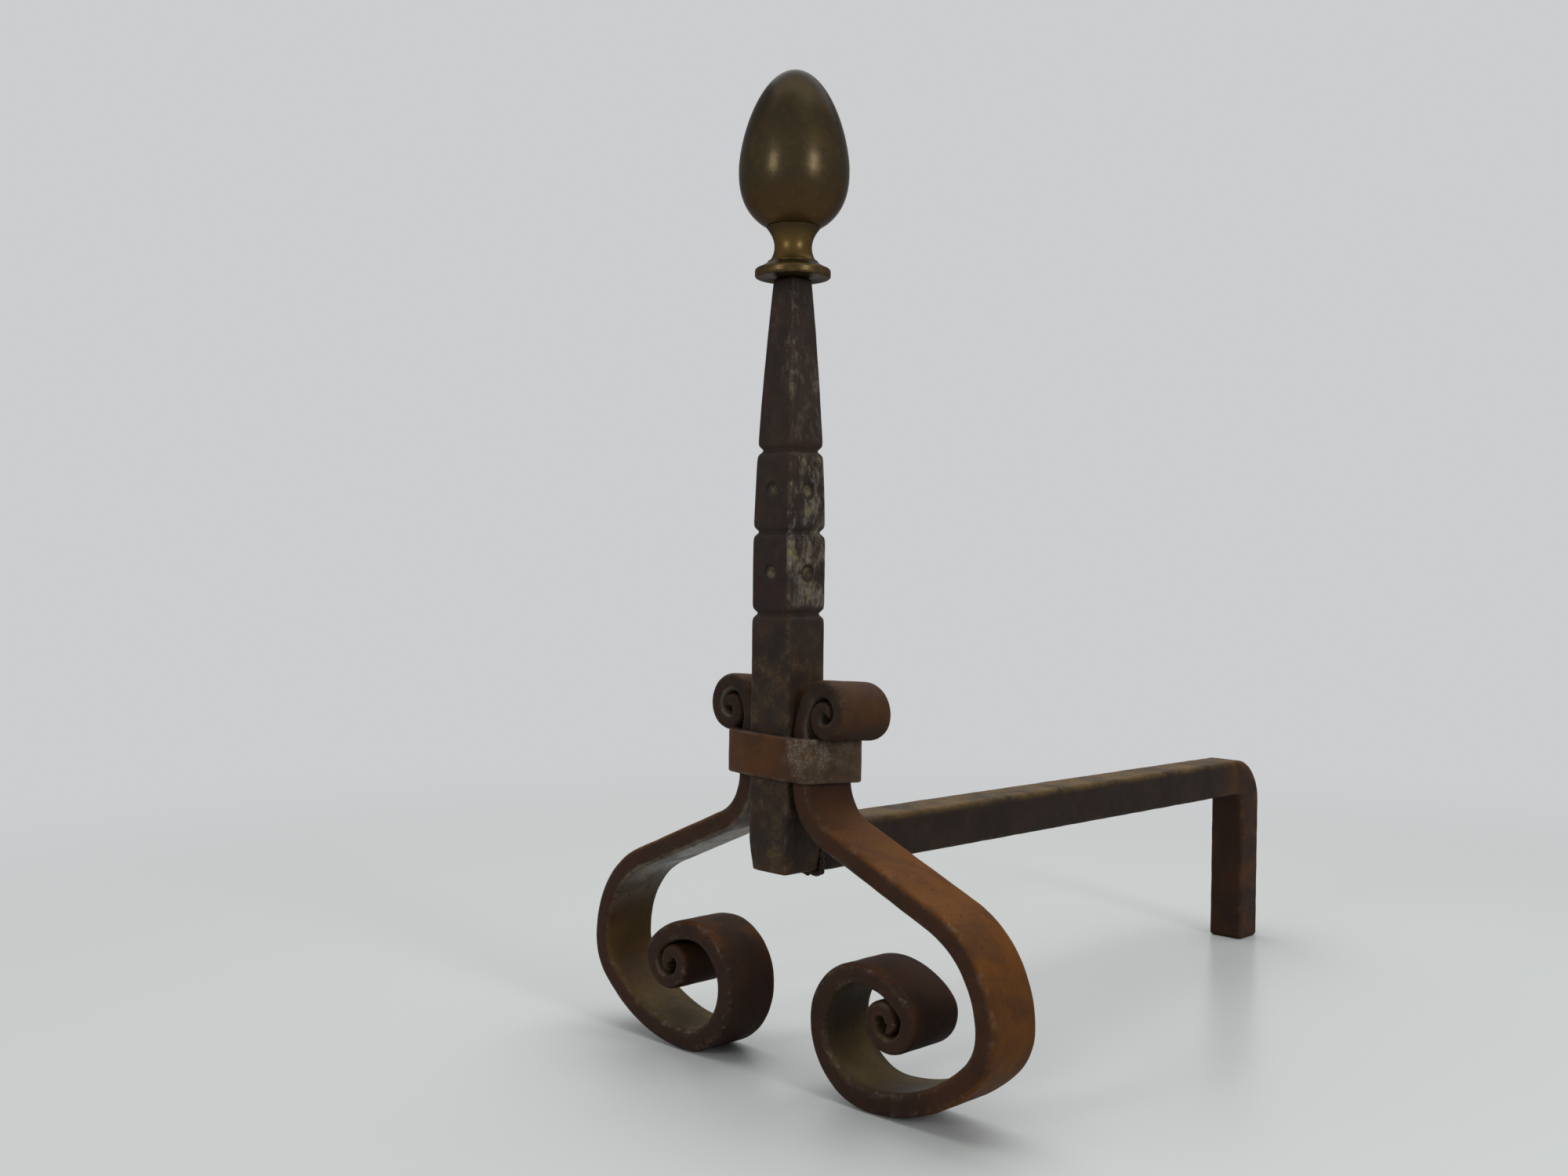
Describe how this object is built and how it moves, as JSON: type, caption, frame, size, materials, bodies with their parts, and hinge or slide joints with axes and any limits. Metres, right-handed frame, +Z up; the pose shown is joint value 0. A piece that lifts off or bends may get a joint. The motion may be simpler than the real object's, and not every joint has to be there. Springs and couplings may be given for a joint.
{
  "type": "andiron",
  "caption": "Wrought-iron andiron with scroll feet, a collared square post, a log bar and a brass egg finial that unscrews.",
  "frame": {"origin": "middle of the bounding box, on the floor", "axes": "+X to the right along the scroll feet, +Y back along the log bar towards the rear foot, +Z up the post"},
  "size_m": [0.2624, 0.4676, 0.476],
  "materials": {
    "forged_iron": "dark brown-black forged iron with worn patches",
    "rusty_iron": "orange-brown rusted and oiled iron",
    "weld": "dull grey weld metal",
    "aged_brass": "dark olive-brown patinated brass, soft gloss",
    "steel": "plain steel thread"
  },
  "bodies": {
    "frame": {"post": "forged_iron", "left_leg": "rusty_iron", "right_leg": "rusty_iron", "collar": "rusty_iron", "collar_weld": "weld", "leg_rivet": "forged_iron", "log_bar": "rusty_iron", "bar_weld": "weld"},
    "finial_foot": {"finial_base": "aged_brass"},
    "finial": {"finial_knob": "aged_brass", "finial_stud": "steel"}
  },
  "joints": [
    {"name": "finial_lift", "type": "slide", "parent": "frame", "child": "finial_foot", "axis": [0, 0, 1], "range_m": [0, 0.0125]},
    {"name": "finial_turn", "type": "hinge", "parent": "finial_foot", "child": "finial", "pos_m": [0, -0.20755, 0.402], "axis": [0, 0, 1], "range_deg": [0, 3600]}
  ],
  "couplings": [
    {"joint": "finial_lift", "follows": "finial_turn", "m_per_rad": 0.00019894}
  ]
}
